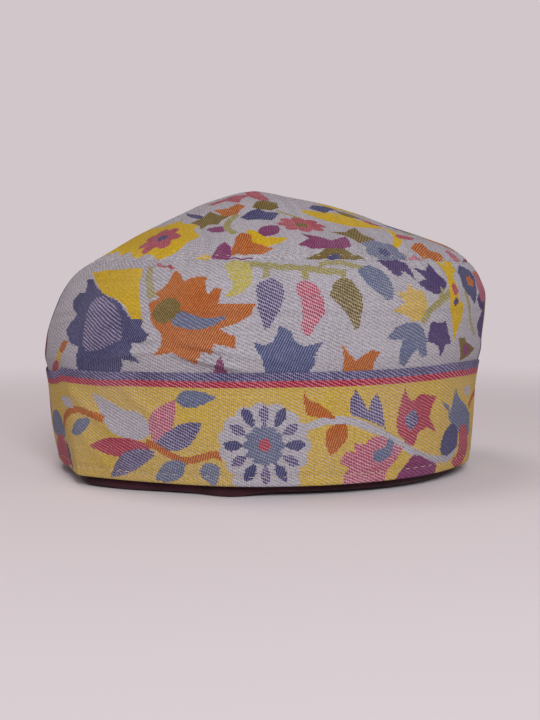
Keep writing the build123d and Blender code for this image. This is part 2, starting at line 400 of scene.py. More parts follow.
DAISY = (1.0, 22.3)
BAND_FIGURES = [
    ("lilac", curve((-80, 42), (-74, 41), (-62, 36), (-52, 34), (-49, 26), (-57, 23), (-68, 26),
        (-74, 33))),
    ("crimson_dots", leaf((-45.5, 20), (-36.5, 40.5), 11.5, bend=2.2)),
    ("navy_dots", leaf((-47, 20.5), (-25, 31.5), 9.5, belly=0.55, bend=-1.5)),
    ("crimson", leaf((-48, 20), (-84, 19.5), 8.5, belly=0.5)),
    ("navy_dots", leaf((-47, 18.5), (-74, 6), 8.5, belly=0.5, bend=-1.5)),
    ("slate", leaf((-36, 40.5), (-18.5, 42), 7.5, belly=0.3)),
    ("orange", vine(3.0, (-51, 22.5), (-46, 20.5), (-40, 17.5), (-33, 15.5), (-26, 17),
        (-20, 18.5), (-17, 17))),
    ("slate", leaf((-33, 14), (-49, 6.5), 8.5, belly=0.45)),
    ("slate", leaf((-24, 15), (-21, 5), 9, belly=0.35)),
    ("slate", leaf((-98, 24), (-82, 31), 6.5, belly=0.45)),
    ("orange", vine(3.2, (-107, 25), (-104, 30), (-98, 33.5), (-90, 34.5), (-80, 33), (-73, 31.5))),
    ("lilac", rosette(DAISY, 19.5, 15, notch=0.10, squash=0.9, sharp=0.6)),
    ("lilac", cut((-14, 6), (-8, 4), (8, 3), (16, 6), (14, 12), (-12, 12))),
    ("lilac", vine(3.2, (17, 29), (27, 31.8), (37, 31.5), (46, 28.5), (57, 23.5), (68, 17.5),
        (79, 13), (90, 11), (99, 11), (105, 15))),
    ("slate", rosette(DAISY, 8.6, 12, notch=0.16)),
    ("crimson", rosette((1, 22.5), 2.8, 5, notch=0.25)),
    ("orange", curve((17.5, 44), (19, 41), (25, 38), (31, 33), (26, 33.2), (19.5, 34), (17.8, 38))),
    ("orange", leaf((35, 30.5), (28.5, 17.5), 9.5, belly=0.4, bend=-1.0)),
    ("navy_dots", cut((37.5, 34), (36.8, 39), (39.5, 44), (42.5, 40.5), (45.5, 35), (47.5, 40.5),
        (49.5, 42), (52, 38), (55, 27), (48, 30.5), (42, 32.5))),
    ("crimson", cut((60, 29), (61.5, 35), (64, 44), (66.5, 38.5), (70, 38), (73.5, 40.5),
        (84, 38.5), (81, 34.5), (80, 30), (85.5, 23), (78, 26), (73, 24), (70.5, 18.5), (66.5, 20),
        (61.5, 25))),
    ("navy_dots", rosette((69, 30), 4.0, 4, notch=0.2, squash=1.1)),
    ("crimson_dots", cut((33.5, 16.5), (36.5, 19), (40, 18.5), (39.5, 22), (45, 21.5), (48, 24.5),
        (54, 24), (58, 21.5), (65, 18.5), (61, 13.5), (56.5, 9.5), (55, 4), (34, 3.5), (35, 9),
        (37.5, 12), (34, 13.5))),
    ("slate", curve((49, 15), (53, 13.5), (57.5, 16), (59.5, 21), (56, 23), (54.5, 19.5),
        (50, 18.5))),
    ("plum", cut((60, 4), (65, 9.5), (71, 15), (76, 14), (82, 11.5), (88, 9), (87, 4))),
    ("slate", cut((88, 36), (94, 34), (96, 31), (100, 41), (103, 37), (112, 33), (121, 28),
        (123, 18), (112, 18), (100, 24), (95, 28), (94, 31))),
    ("navy", curve((89.5, 15), (92, 22), (98, 25.5), (104, 23), (106, 16), (100, 12.5), (94, 12))),
    ("crimson", curve((107, 22), (113, 24), (119, 20), (122, 12), (118, 7), (108, 5), (103, 8),
        (108, 13))),
    ("lilac", cut((109, 41), (118, 41), (119, 36.5), (111, 37))),
    ("orange", vine(3.0, (118, 31), (124, 35), (133, 36.5), (146, 35.5))),
    ("lilac", cut((-108, 39), (-97, 39), (-95, 35), (-105, 35))),
    ("slate", curve((-131, 22), (-127, 30), (-117, 33), (-110, 29), (-107, 21), (-118, 19))),
    ("crimson", curve((-130, 10), (-124, 18), (-114, 21), (-107, 16), (-106, 9), (-114, 5),
        (-124, 6))),
    ("navy", leaf((-107, 19), (-104.5, 5), 3.6)),
    ("rose", curve((-150, 32), (-144, 38), (-135, 38), (-128, 33), (-136, 29))),
]
BAND_FIGURES += [("navy", petal) for petal in daisy_petals(DAISY, 8.6, 17.5, 4.4, 6, 0.0)]
BAND_FIGURES += [("navy_dots", petal) for petal in daisy_petals(DAISY, 8.6, 16.5, 4.2, 6, 0.52)]

WALL_FIGURES = [
    ("lime_dots", vine(3.4, (-24, 99), (-10, 98), (0, 96.5), (10, 96), (20, 94.5), (30, 93.5))),
    ("lime_dots", vine(3.0, (17, 98), (26, 99.5), (38, 96))),
    ("lime_dots", vine(2.6, (-6, 97), (-5, 91))),
    ("lime_dots", vine(2.6, (11, 96), (12, 90))),
    ("lime_dots", vine(2.6, (27, 95), (29, 91))),
    ("yellow_dots", curve((-26, 99), (-17, 100), (-12.5, 95), (-11, 89), (-14.5, 84),
        (-20.5, 82.5), (-18.5, 87), (-22, 93))),
    ("navy_dots", curve((-8, 87), (-4, 90.5), (1, 89), (3.6, 84), (3.4, 78), (1.5, 72),
        (-0.5, 69.5), (-3, 73), (-6, 79))),
    ("crimson_dots", curve((8, 87), (12, 89.8), (17, 87), (20, 82), (22, 76), (19.5, 71),
        (17, 66.5), (14, 70), (13, 75), (11, 81))),
    ("olive_dots", curve((23, 85), (26, 90), (31, 90.5), (35, 86), (37.5, 80), (38, 73),
        (37, 68.5), (33, 73), (28, 78.5), (23.5, 82))),
    ("gold", cut((-104, 95), (-97, 93.5), (-91, 96), (-84, 95), (-76, 96.5), (-66, 95.5),
        (-62.5, 87), (-58.5, 80), (-54.5, 73), (-60, 73.5), (-66, 79), (-73, 82), (-84, 84.5),
        (-94, 90))),
    ("navy", cut((-102, 91), (-96, 90.5), (-92, 88), (-84, 84.5), (-77, 82.5), (-71, 81),
        (-66, 77.5), (-60, 73.5), (-54, 73), (-54.5, 70.5), (-49, 67), (-51, 64), (-57, 63.5),
        (-56, 60), (-51.5, 55.5), (-60, 57), (-61, 53), (-64, 50), (-90, 50), (-89, 56),
        (-88.5, 61.5), (-96, 63), (-102, 68), (-100, 71.5), (-95, 75), (-102, 77), (-106, 81),
        (-102, 84.5), (-97, 84.5), (-99, 87.5))),
    ("navy_dots", curve((-89, 79), (-84, 83), (-74, 80.5), (-66, 74), (-62.5, 66), (-68, 63),
        (-76, 60.5), (-84, 61), (-87, 68))),
    ("lime_dots", vine(3.4, (-62, 97), (-59.5, 91), (-56, 86), (-53, 82))),
    ("crimson", vine(1.5, (-61, 99), (-57, 97), (-54, 97.5), (-50, 95.5))),
    ("orange", cut((-48.5, 95), (-45, 93.5), (-41, 89.5), (-37.5, 91.5), (-31.5, 92), (-30, 87),
        (-28.5, 83), (-25.5, 86.5), (-22.8, 86), (-22.5, 79.8), (-12, 80), (-7, 79.5), (-8, 75),
        (-12, 72), (-19, 69.5), (-15, 67.5), (-12, 66.5), (-11, 61.8), (-20, 63.5), (-20, 59.5),
        (-25, 60), (-26, 55), (-31, 57.5), (-37, 60), (-45.5, 58.5), (-42.5, 63), (-43.5, 67),
        (-49, 71.5), (-52, 76), (-54, 80), (-50, 82), (-52.5, 84.5), (-48, 88.5))),
    ("olive", rosette((-44.5, 77), 6.2, 9, notch=0.06, squash=0.85)),
    ("slate", curve((-38.5, 76.5), (-33, 75.5), (-26, 73.8), (-18, 74.5), (-22, 71), (-30, 69.3),
        (-40, 71.5))),
    ("blue", cut((-5, 64.5), (0, 63), (3.5, 64.5), (5, 71), (9.5, 68.5), (13, 63.5), (17, 62.5),
        (23.5, 64), (21.5, 60.5), (21, 55), (18, 50), (2, 50), (0, 57.5))),
    ("orange", cut((31.5, 63.5), (34, 60.5), (38.5, 56), (41.5, 58.5), (45, 60), (49, 59.5),
        (47, 55), (46, 50), (33.5, 50), (33, 57))),
    ("plum", cut((-20.5, 51), (-19, 54), (-16.5, 59), (-14.5, 54), (-13.5, 51))),
    ("slate", curve((35.5, 95), (42, 97.5), (47, 95), (51, 90), (52, 84), (50, 80.5), (45, 83.5),
        (40, 87.5))),
    ("violet", cut((46, 101), (49, 97.5), (53.5, 92.5), (57.5, 91.5), (58.5, 95), (61, 93),
        (65.5, 89.5), (62, 99), (57.5, 101.5))),
    ("violet", cut((65.5, 97), (70, 95.5), (73, 95), (78, 100), (79.5, 94.5), (85.5, 89),
        (80.5, 83), (75, 83), (69.5, 85.5), (66, 88.5), (71.5, 90.5), (69, 93.5))),
    ("yellow", cut((53, 84.5), (58, 84), (60.5, 88.5), (63, 85.5), (68, 84.5), (71, 79),
        (70.5, 72), (64, 71.5), (59.5, 74.5), (52.5, 76), (58, 79.5))),
    ("lime_dots", vine(3.6, (69, 71), (74, 77), (80, 80), (86, 84))),
    ("lime_dots", vine(2.6, (79, 80), (81, 86))),
    ("slate", cut((51.5, 65), (55, 69), (60, 71), (66, 71), (70, 68.5), (73, 63), (74, 57),
        (71, 56), (68, 60), (65, 57), (62.5, 52.5), (59, 54), (59, 60), (60, 64.5), (54, 64))),
    ("violet", cut((73.5, 62.5), (74.5, 71), (80, 70.5), (84, 71), (87, 66.5), (90.5, 61),
        (86, 60.5), (83, 55.5), (81, 60), (77, 62))),
    ("gold", cut((84.5, 104), (87, 92), (86, 84.5), (86.5, 76), (88.5, 73), (90.5, 67), (93, 61.5),
        (95, 66.5), (98, 72), (98.5, 78.5), (93.5, 80), (93, 87), (92.5, 92), (97, 95.5),
        (99, 101), (93, 103), (90, 98))),
    ("crimson", curve((88.5, 86), (90.5, 88.5), (93, 86), (92, 83), (89.5, 83))),
    ("violet", rosette((91, 79.5), 2.2, 4)),
    ("lime_dots", vine(2.2, (99, 84), (104, 78), (108, 70), (116, 64))),
    ("navy", cut((98.5, 87), (99.5, 95), (105, 99), (112, 98), (118, 92), (114, 85), (111, 78),
        (105.5, 81.5), (101, 83.5))),
    ("orange", rosette((109, 89.5), 4.6, 5, notch=0.3, squash=0.7)),
    ("rose", curve((117, 88), (122, 95), (131, 93), (134, 84), (127, 79), (119, 81))),
    ("olive", cut((97, 63), (103, 63), (106, 61), (117, 57.5), (111, 54.5), (101, 52.5), (99, 57))),
    ("plum", curve((102, 59), (106, 60), (110, 57), (106, 55), (103, 56))),
    ("yellow", leaf((-112, 51.5), (-99, 63), 5.5)),
    ("orange", leaf((-105, 59), (-98, 63.5), 4.6)),
    ("crimson", curve((-124, 49), (-118, 54), (-110, 56), (-107, 54), (-112, 51.5), (-118, 48))),
    ("navy", curve((-158, 70), (-158, 88), (-146, 92), (-136, 89), (-130, 82), (-132, 73),
        (-144, 68))),
    ("plum", curve((-156, 55), (-156, 68), (-142, 70), (-131, 69), (-127, 62), (-134, 55))),
]

CROWN_FIGURES = [
    ("gold", curve((-86, -12), (-79, -27), (-75, -33), (-73, -43), (-68, -47), (-65, -56),
        (-58, -60), (-52, -68), (-46, -66), (-42, -61), (-36, -58), (-37, -50), (-34, -45),
        (-40, -38), (-43, -28), (-53, -20), (-64, -9))),
    ("crimson", rosette((-54, -47), 11.0, 7, notch=0.34, squash=1.1, start=0.4, sharp=0.8)),
    ("navy", rosette((-53, -48), 3.2, 5)),
    ("navy", curve((-39, -12), (-37, -20), (-34, -29), (-29.5, -38), (-34, -36), (-37.5, -27))),
    ("olive", cut((-37, -40), (-31, -37), (-27, -31), (-23, -38), (-18, -41.5), (-22.5, -45),
        (-25, -49), (-29, -47), (-34, -51), (-33.5, -45.5))),
    ("orange", cut((-25, -30), (-18, -31.5), (-12, -27), (-9.5, -33), (-13, -37), (-15, -42),
        (-21, -41), (-23, -36))),
    ("crimson", cut((-26, -15), (-17, -14), (-10, -9), (-2, -13), (-8, -19), (-11, -26),
        (-16, -20), (-24, -22))),
    ("crimson", curve((-2, 2), (2, -4), (4, -16), (4, -24), (-1, -25), (-4, -16), (-4, -4))),
    ("olive", cut((-7, -36), (-3, -28), (1, -25), (6, -28), (5, -36), (1, -40), (-4, -39))),
    ("navy", cut((-14, -46), (-9, -40.5), (-5, -38), (-2, -42), (4, -42.5), (1.5, -48),
        (-0.5, -51), (-6, -50), (-11, -50))),
    ("plum", curve((-31, -52), (-25, -52), (-22, -55), (-24, -59), (-29, -57.5))),
    ("lime_dots", vine(3.4, (-20, -63), (-22, -56), (-20, -49), (-15, -42))),
    ("plum", leaf((-9.5, -67.5), (0.5, -56.5), 8.5, belly=0.5)),
    ("gold", cut((-16, -73), (-14, -60), (-10.5, -62), (-8.5, -68), (-3, -69), (1.5, -69.5),
        (-3, -74), (-9, -76))),
    ("plum", cut((-31, -83.5), (-29, -71), (-26, -69), (-23, -74), (-22, -80), (-4, -84),
        (-10, -87))),
    ("orange", cut((-23, -75), (-21, -67), (-17, -62.5), (-13.5, -65.5), (-14.5, -72), (-5, -77.5),
        (-10, -80.5), (-22, -79))),
    ("yellow", cut((-37, -76), (-32, -75), (-29, -79), (-31, -83))),
    ("crimson", rosette((11, -55), 10.2, 8, notch=0.28, squash=0.85, sharp=0.8)),
    ("olive", rosette((11, -55.5), 2.8, 6)),
    ("lime_dots", vine(1.6, (3, -40), (8, -44), (12, -47))),
    ("gold", curve((14, -38), (20, -44), (30, -46.5), (40, -44), (49, -37), (42, -33), (30, -31),
        (20, -35))),
    ("navy", cut((19, -31), (22, -23), (29, -19), (33, -22), (28, -28), (25, -34))),
    ("olive", curve((31, -26), (38, -24), (42, -27), (38, -31), (33, -31))),
    ("crimson", curve((41, -30), (45, -24), (50, -26), (48, -33), (44, -35))),
    ("olive", cut((21, -61.5), (28, -58.5), (31, -53), (34.5, -48), (35, -57), (39, -60.5),
        (36, -66), (31, -68.5), (26.5, -64))),
    ("plum", cut((4.5, -75), (10, -70), (7.5, -65.5), (14, -68), (19, -70.5), (22, -68),
        (26, -64.5), (27, -72), (22, -76.5), (10, -77))),
    ("olive", cut((9, -83), (14, -79), (17, -76), (24, -74.5), (28, -76.5), (34, -77), (30, -82),
        (22, -86))),
    ("navy", rosette((21, -80.5), 3.4, 6, squash=0.7)),
    ("slate", rosette((42, -68.5), 10.5, 7, notch=0.22, squash=0.72, start=0.3)),
    ("navy", rosette((41.5, -69), 2.9, 5)),
    ("gold", vine(3.0, (46.5, -62), (49, -55), (50.5, -44), (49, -36))),
    ("crimson", leaf((50, -50), (59, -40), 5.5)),
    ("orange", cut((53.5, -58), (56, -52), (60, -46.5), (62.5, -51), (69, -48), (71, -54),
        (65, -57), (60, -61))),
    ("rose", leaf((53, -66.5), (62, -62), 3.6)),
    ("gold", cut((64, -62), (68, -55), (74, -51), (77, -53), (71, -59), (67, -63))),
    ("rose", curve((72, -40), (75, -33), (80, -35), (79, -42), (75, -44))),
    ("plum", cut((82, -38), (84, -24), (90, -20), (92, -30), (88, -38))),
    ("lime_dots", vine(2.6, (52, -34), (60, -24), (64, -12), (60, -2))),
    ("slate", rosette((61, -9), 8.5, 6, notch=0.3, start=0.2)),
    ("crimson", rosette((61, -9), 3.0, 5)),
    ("orange", leaf((66, -18), (80, -24), 7.5)),
    ("olive", leaf((56, -2), (44, 4), 6.5)),
    ("gold", cut((28, -14), (36, -8), (47, -12), (40, -4), (30, -3), (24, -8))),
    ("navy", leaf((76, -6), (86, 4), 6.5)),
    ("plum", leaf((68, 0), (74, 10), 6.0)),
    ("orange", leaf((-62, -4), (-74, 4), 8.0)),
    ("navy", leaf((-48, -6), (-40, 4), 6.5)),
    ("olive", vine(2.4, (-50, -10), (-58, -4), (-66, 4), (-78, 6))),
    ("crimson", leaf((-70, 8), (-80, 14), 6.0)),
]

# The lower edge of each stripe, which runs on up to the next one or to the band's top
STRIPES = ((BAND_TOP_RUN - 6.1, "stripe_crimson"), (BAND_TOP_RUN - 3.2, "stripe_navy"))
BACK_SHIFT = 220.0  # from a front figure to its copies round the cap
FRONT_SPAN = 104.0  # only figures with their middle this near the front are copied
FRONT_EDGE = 140.0  # and no copy comes nearer the front than this
# The copies' yarns, in place of the front's
CALM = {"orange": "gold", "gold": "orange", "navy": "violet", "violet": "navy", "crimson": "rose",
        "rose": "crimson", "navy_dots": "olive_dots", "olive_dots": "crimson_dots",
        "crimson_dots": "navy_dots", "slate": "blue", "blue": "slate", "plum": "crimson"}


def repeats(figures):
    """The front's figures, and their copies round the sides and the back with yarns changed."""
    out = []
    for side in (-1, 1):
        for yarn, outline in figures:
            middle = outline[:, 0].mean()
            if abs(middle) < FRONT_SPAN and abs(middle + side * BACK_SHIFT) > FRONT_EDGE:
                new_yarn = CALM.get(yarn, yarn) if side > 0 else yarn
                out.append((new_yarn, outline + (side * BACK_SHIFT, 0)))
    return out + list(figures)


def crown_repeats(figures):
    """The front half's figures, and the same turned half round for the back half."""
    turned = [(CALM.get(yarn, yarn), -outline) for yarn, outline in figures]
    return turned + list(figures)


def inside(outline, x, y):
    """Which places lie inside a closed outline."""
    hit = np.zeros(x.shape, bool)
    for (x0, y0), (x1, y1) in zip(outline, np.roll(outline, -1, axis=0)):
        if y0 != y1:
            crosses = (y0 > y) != (y1 > y)
            hit ^= crosses & (x < (x1 - x0) * (y - y0) / (y1 - y0) + x0)
    return hit


def paint(yarn_of, figures, x, y, wrap=0.0):
    """Sets the yarn of every cell that lies in a figure, later figures over earlier ones."""
    for yarn, outline in figures:
        low, high = outline.min(0), outline.max(0)
        for turn in ((-wrap, 0.0, wrap) if wrap else (0.0,)):
            near = (x > low[0] + turn) & (x < high[0] + turn) & (y > low[1]) & (y < high[1])
            if near.any():
                hit = inside(outline, x[near] - turn, y[near])
                yarn_of[near] = np.where(hit, YARN_NAMES.index(yarn), yarn_of[near])
    return yarn_of


# ---------------------------------------------------------------- meshes
def make_mesh(name, points, faces):
    """A smooth mesh from points in mm."""
    mesh = bpy.data.meshes.new(name)
    mesh.from_pydata((np.reshape(points, (-1, 3)) * MM).tolist(), [], faces)
    mesh.update()
    mesh.shade_smooth()
    piece = bpy.data.objects.new(name, mesh)
    bpy.context.scene.collection.objects.link(piece)
    return piece


def grid_faces(rows, cols, round_closed, up_closed=False):
    """Quads of a grid of points. Closed joins the last column, or row, to the first."""
    i, j = np.meshgrid(np.arange(rows if up_closed else rows - 1),
                       np.arange(cols if round_closed else cols - 1), indexing="ij")
    low, high = i * cols, (i + 1) % rows * cols
    k = (j + 1) % cols
    return np.stack([low + j, low + k, high + k, high + j], -1).reshape(-1, 4)


def set_uv(mesh, name, corners):
    """Writes a UV map, a place for each corner of each face."""
    layer = mesh.uv_layers.new(name=name)
    layer.data.foreach_set("uv", np.asarray(corners, np.float32).ravel())


def set_yarns(mesh, yarn_of, wear):
    """Writes each face's yarns to its corners: face yarn, yarn between, and how they show."""
    tones = np.array([np.concatenate(YARNS[name]) for name in YARN_NAMES])[yarn_of]
    tones = tones * np.concatenate([np.repeat(wear[:, None], 6, 1), np.ones((len(wear), 3))], 1)
    for k, name in enumerate(("yarn", "under", "weave")):
        part = np.concatenate([tones[:, 3 * k:3 * k + 3], np.ones((len(tones), 1))], 1)
        layer = mesh.color_attributes.new(name=name, type="FLOAT_COLOR", domain="CORNER")
        layer.data.foreach_set("color", np.repeat(part, 4, 0).astype(np.float32).ravel())


COLUMN = 0.8  # width of a warp thread
COLUMNS = round(GIRTH_LENGTH / COLUMN)
BAKE_ROWS = 3  # a long strip is folded into this many rows on its own texture


def strip_piece(name, runs, outs, figures, ground, relief, shift, stripes=()):
    """A band of cloth round the cap: runs and outs are its cross-section, row by row."""
    runs, outs = np.asarray(runs), np.asarray(outs)
    s = (np.arange(COLUMNS) + 0.5) / COLUMNS * GIRTH_LENGTH - GIRTH_LENGTH / 2
    s_grid, v_grid = np.meshgrid(s, runs)
    out_grid = np.repeat(outs[:, None], COLUMNS, 1)
    points = wall_point(s_grid, v_grid + shift(s_grid, v_grid), out_grid + relief(s_grid, v_grid))
    faces = grid_faces(len(runs), COLUMNS, True)
    piece = make_mesh(name, points, faces.tolist())
    length = np.concatenate([[0], np.cumsum(np.hypot(np.diff(runs), np.diff(outs)))])
    row, col = faces[:, 0] // COLUMNS, faces[:, 0] % COLUMNS
    cell = GIRTH_LENGTH / COLUMNS
    left = s[col]
    u = np.stack([left, left + cell, left + cell, left], -1)
    w = np.stack([length[row], length[row], length[row + 1], length[row + 1]], -1)
    set_uv(piece.data, "cloth", np.stack([u, w], -1) * MM)
    fold = np.minimum((col * BAKE_ROWS) // COLUMNS, BAKE_ROWS - 1)
    per_fold = GIRTH_LENGTH / BAKE_ROWS
    bake_u = (u - s[0] - fold[:, None] * per_fold) / (per_fold + 2 * cell) * 0.98 + 0.01
    bake_v = (fold[:, None] + 0.02 + 0.96 * w / length[-1]) / BAKE_ROWS
    set_uv(piece.data, "OFBake", np.stack([bake_u, bake_v], -1))
    x = left + cell / 2 + random.normal(0, 0.18, len(left))
    y = (runs[row] + runs[row + 1]) / 2
    yarn_of = np.full(len(faces), YARN_NAMES.index(ground))
    paint(yarn_of, figures, wrapped(x), y, GIRTH_LENGTH)
    for bottom, yarn in stripes:
        yarn_of[y > bottom] = YARN_NAMES.index(yarn)
    wear = 1 + random.normal(0, 0.018, COLUMNS)[col] + random.normal(0, 0.030, len(runs))[row]
    set_yarns(piece.data, yarn_of, wear)
    return piece


def dense(start, end, step):
    """Even places from start to end, about a step apart."""
    count = max(2, round(abs(end - start) / step) + 1)
    return np.linspace(start, end, count)


def joined(*parts):
    """Cross-section rows from (runs, outs) stretches, without the doubled ends."""
    runs, outs = [], []
    for run, out in parts:
        first = 1 if runs else 0
        outs.extend(np.broadcast_to(out, run.shape)[first:])
        runs.extend(run[first:])
    return runs, outs


ROW, WALL_ROW = 0.55, 0.58  # height of a woven cell
PLAIN_ROW = 1.6  # of a cell where the cloth is turned in
TURNED_IN = 9.0  # how far the hem runs up inside, and the wall down behind the band


def border_band():
    """Turned up inside at the hem, and rolled in at its top."""
    inner = BAND_OUT - 2 * CLOTH - 0.1
    half_fold = (BAND_OUT - inner) / 2
    bend = np.linspace(-math.pi / 2, math.pi / 2, 7)
    middle = (BAND_OUT + inner) / 2
    fold_runs = HEM_RUN + 0.7 - 0.7 * np.cos(bend)
    fold_outs = middle + half_fold * np.sin(bend)
    edge = np.linspace(0, math.pi / 2, 4)
    runs, outs = joined(
        (dense(HEM_RUN + TURNED_IN, HEM_RUN + 0.7, PLAIN_ROW), inner),
        (fold_runs, fold_outs),
        (dense(HEM_RUN + 0.7, BAND_TOP_RUN - 0.6, ROW), BAND_OUT),
        (BAND_TOP_RUN - 0.6 + 0.6 * np.sin(edge), BAND_OUT - 0.6 + 0.6 * np.cos(edge)),
    )
    return strip_piece("band_cloth", runs, outs, repeats(BAND_FIGURES), "yellow", band_relief,
                       band_shift, STRIPES)


def upper_wall():
    """Runs down behind the band, and rolls in over the rim seam."""
    edge = np.linspace(0, math.pi / 2, 5)
    runs, outs = joined(
        (dense(BAND_TOP_RUN - TURNED_IN, BAND_TOP_RUN - 1.0, PLAIN_ROW), -0.2),
        (dense(BAND_TOP_RUN - 1.0, RIM_RUN - 0.9, WALL_ROW), 0.0),
        (RIM_RUN - 0.9 + 0.9 * np.sin(edge), -0.7 + 0.7 * np.cos(edge)),
    )
    return strip_piece("wall_cloth", runs, outs, repeats(WALL_FIGURES), "lilac", wall_relief,
                       wall_shift)


CROWN_CELLS, CROWN_LINING_CELLS = 296, 80
WARP_TONES = 500  # warp threads before their unevenness repeats


def crown_grid(cells):
    """A square grid (a, b) drawn out to fill the crown, so that the weave has no pole:
    the square, the disc's share from the middle, and the flat place of each point."""
    line = np.linspace(-1, 1, cells + 1)
    a, b = np.meshgrid(line, line)
    x, y = a * np.sqrt(1 - b * b / 2), b * np.sqrt(1 - a * a / 2)
    return (a, b), np.hypot(x, y), x * HALF_LENGTH * RIM_GIRTH, y * HALF_WIDTH * RIM_GIRTH


def crown_cloth():
    """The crown's cloth, woven straight along the cap and rolled in at the rim."""
    grid, far, p, q = crown_grid(CROWN_CELLS)
    roll = np.clip((far - 0.975) / 0.025, 0, 1)
    sink = -0.7 * (1 - np.sqrt(np.clip(1 - roll**2, 0, 1)))
    points = crown_point(p, q, sink + crown_relief(p, q))
    faces = grid_faces(CROWN_CELLS + 1, CROWN_CELLS + 1, False)
    piece = make_mesh("crown_cloth", points, faces.tolist())
    flat = np.stack([p, q], -1).reshape(-1, 2)
    set_uv(piece.data, "cloth", flat[faces] * MM)
    square = np.stack(grid, -1).reshape(-1, 2) * 0.49 + 0.5
    set_uv(piece.data, "OFBake", square[faces])
    middle = flat[faces].mean(1)
    yarn_of = np.full(len(faces), YARN_NAMES.index("lilac"))
    paint(yarn_of, crown_repeats(CROWN_FIGURES), middle[:, 0], middle[:, 1])
    column = np.floor(middle[:, 0] / COLUMN).astype(int) % WARP_TONES
    wear = 1 + random.normal(0, 0.035, WARP_TONES)[column]
    set_yarns(piece.data, yarn_of, wear)
    return piece


# ---------------------------------------------------------------- materials
class Net:
    """A node tree. Each way to add a node takes sockets or plain values, and gives its output."""

    def __init__(self, tree):
        self.nodes, self.links = tree.nodes, tree.links

    def fill(self, socket, value):
        if hasattr(value, "is_output"):
            self.links.new(value, socket)
        else:
            socket.default_value = value

    def math(self, kind, *values):
        node = self.nodes.new("ShaderNodeMath")
        node.operation = kind
        for socket, value in zip(node.inputs, values):
            self.fill(socket, value)
        return node.outputs[0]

    def times_add(self, value, factor, more):
        return self.math("MULTIPLY_ADD", value, factor, more)

    def ramp(self, value, low, high):
        """0 below low, 1 above high, smooth between."""
        node = self.nodes.new("ShaderNodeMapRange")
        node.interpolation_type = "SMOOTHSTEP"
        for socket, part in zip(node.inputs, (value, low, high)):
            self.fill(socket, part)
        return node.outputs[0]

    def wave(self, phase):
        """A wave from 0 to 1 and back for each whole step of the phase."""
        angle = self.math("MULTIPLY", phase, 2 * math.pi)
        return self.times_add(self.math("COSINE", angle), 0.5, 0.5)

    def mixed(self, factor, a, b, mode="MIX"):
        node = self.nodes.new("ShaderNodeMix")
        node.data_type = "RGBA"
        node.blend_type = mode
        for k, value in ((0, factor), (6, a), (7, b)):
            self.fill(node.inputs[k], value)
        return node.outputs[2]

    def noise(self, vector, scale, detail=2.0):
        node = self.nodes.new("ShaderNodeTexNoise")
        for key, value in (("Vector", vector), ("Scale", scale), ("Detail", detail)):
            self.fill(node.inputs[key], value)
        return node.outputs["Fac"]

    def parts(self, vector):
        """The X, Y and Z of a vector."""
        node = self.nodes.new("ShaderNodeSeparateXYZ")
        self.fill(node.inputs[0], vector)
        return node.outputs

    def place(self, key="Object"):
        return self.nodes.new("ShaderNodeTexCoord").outputs[key]

    def stored(self, name):
        """A colour that the mesh holds."""
        node = self.nodes.new("ShaderNodeAttribute")
        node.attribute_name = name
        return node.outputs["Color"]

    def bump(self, height, strength, distance):
        node = self.nodes.new("ShaderNodeBump")
        for key, value in (("Strength", strength), ("Distance", distance), ("Height", height)):
            self.fill(node.inputs[key], value)
        return node.outputs[0]

    def surface(self, **values):
        """Sets the shader's inputs: words in their names are joined by _."""
        for key, value in values.items():
            self.fill(self.nodes["Principled BSDF"].inputs[key.replace("_", " ")], value)


def new_material(name):
    material = bpy.data.materials.new(name)
    material.use_nodes = True
    return material, Net(material.node_tree)


TWILL_PITCH = 1.36  # from one twill line to the next, up the cloth
TWILL_SLOPE = 0.45
STEEP = (-0.34, 0.76)  # how fast the steep lines' phase runs with mm up and columns across
DUST = (0.24, 0.21, 0.22, 1.0)


